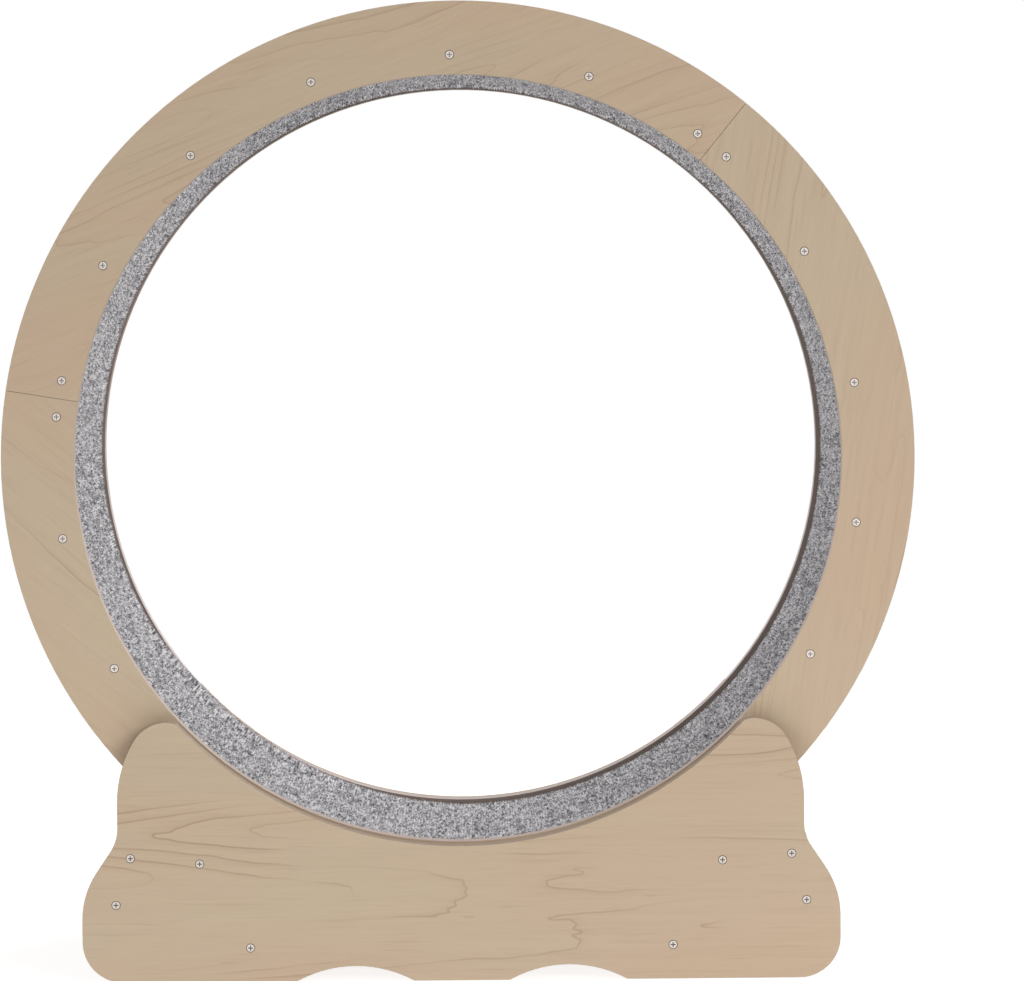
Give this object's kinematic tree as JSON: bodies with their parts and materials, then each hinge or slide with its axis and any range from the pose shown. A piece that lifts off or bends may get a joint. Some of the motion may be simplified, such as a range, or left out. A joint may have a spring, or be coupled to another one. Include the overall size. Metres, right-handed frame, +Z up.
{
  "type": "cat exercise wheel",
  "caption": "Free-standing plywood exercise wheel for a cat: a carpet-lined drum between two wooden rings turns on grooved rollers held in a low cut-out base.",
  "frame": {"origin": "on the floor, midway between the two base panels, straight under the wheel's axis", "axes": "+Z up; +Y along the wheel's axis, from the front panel to the rear panel; +X to the right seen from the front"},
  "size_m": [1, 0.36, 1.07],
  "materials": {
    "ring_plywood": "pale maple-faced plywood, satin",
    "track_plywood": "thin bent plywood, bare",
    "batten_timber": "planed softwood, bare",
    "carpet": "heathered grey loop carpet",
    "base_plywood": "pale maple-faced plywood, satin",
    "base_timber": "plywood board and planed bar",
    "zinc_steel": "bright zinc plated",
    "bearing_steel": "ground steel",
    "roller_nylon": "off-white nylon"
  },
  "bodies": {
    "base": {"front_panel": "base_plywood", "rear_panel": "base_plywood", "left_end_board": "base_timber", "right_end_board": "base_timber", "left_cross_bar": "base_timber", "right_cross_bar": "base_timber", "front_panel_screws": "zinc_steel", "rear_panel_screws": "zinc_steel", "axle_bolts": "zinc_steel", "inner_races": "bearing_steel", "outer_spacers": "zinc_steel", "inner_spacers": "zinc_steel", "axle_washers": "zinc_steel", "axle_lock_nuts": "zinc_steel"},
    "wheel": {"front_ring_segment_1": "ring_plywood", "rear_ring_segment_1": "ring_plywood", "front_ring_segment_2": "ring_plywood", "rear_ring_segment_2": "ring_plywood", "front_ring_segment_3": "ring_plywood", "rear_ring_segment_3": "ring_plywood", "track_board_1": "track_plywood", "track_board_2": "track_plywood", "track_board_3": "track_plywood", "carpet_runner": "carpet", "batten_1_1": "batten_timber", "batten_1_2": "batten_timber", "batten_1_3": "batten_timber", "batten_1_4": "batten_timber", "batten_1_5": "batten_timber", "batten_2_1": "batten_timber", "batten_2_2": "batten_timber", "batten_2_3": "batten_timber", "batten_2_4": "batten_timber", "batten_2_5": "batten_timber", "batten_3_1": "batten_timber", "batten_3_2": "batten_timber", "batten_3_3": "batten_timber", "batten_3_4": "batten_timber", "batten_3_5": "batten_timber", "joint_batten_1": "batten_timber", "joint_batten_2": "batten_timber", "joint_batten_3": "batten_timber", "front_ring_screws": "zinc_steel", "rear_ring_screws": "zinc_steel"},
    "roller_unit_front_left": {"roller_front_left": "roller_nylon", "outer_race_front_left": "bearing_steel", "bearing_balls_front_left": "bearing_steel"},
    "roller_unit_front_right": {"roller_front_right": "roller_nylon", "outer_race_front_right": "bearing_steel", "bearing_balls_front_right": "bearing_steel"},
    "roller_unit_rear_left": {"roller_rear_left": "roller_nylon", "outer_race_rear_left": "bearing_steel", "bearing_balls_rear_left": "bearing_steel"},
    "roller_unit_rear_right": {"roller_rear_right": "roller_nylon", "outer_race_rear_right": "bearing_steel", "bearing_balls_rear_right": "bearing_steel"}
  },
  "joints": [
    {"name": "wheel_spin", "type": "hinge", "parent": "base", "child": "wheel", "pos_m": [0, 0, 0.57], "axis": [0, 1, 0], "continuous": true},
    {"name": "roller_spin_front_left", "type": "hinge", "parent": "base", "child": "roller_unit_front_left", "pos_m": [-0.28644, -0.1475, 0.1311], "axis": [0, 1, 0], "continuous": true},
    {"name": "roller_spin_front_right", "type": "hinge", "parent": "base", "child": "roller_unit_front_right", "pos_m": [0.28644, -0.1475, 0.1311], "axis": [0, 1, 0], "continuous": true},
    {"name": "roller_spin_rear_left", "type": "hinge", "parent": "base", "child": "roller_unit_rear_left", "pos_m": [-0.28644, 0.1475, 0.1311], "axis": [0, 1, 0], "continuous": true},
    {"name": "roller_spin_rear_right", "type": "hinge", "parent": "base", "child": "roller_unit_rear_right", "pos_m": [0.28644, 0.1475, 0.1311], "axis": [0, 1, 0], "continuous": true}
  ],
  "couplings": [
    {"joint": "roller_spin_front_left", "follows": "wheel_spin", "ratio": -21.008},
    {"joint": "roller_spin_front_right", "follows": "wheel_spin", "ratio": -21.008},
    {"joint": "roller_spin_rear_left", "follows": "wheel_spin", "ratio": -21.008},
    {"joint": "roller_spin_rear_right", "follows": "wheel_spin", "ratio": -21.008}
  ]
}
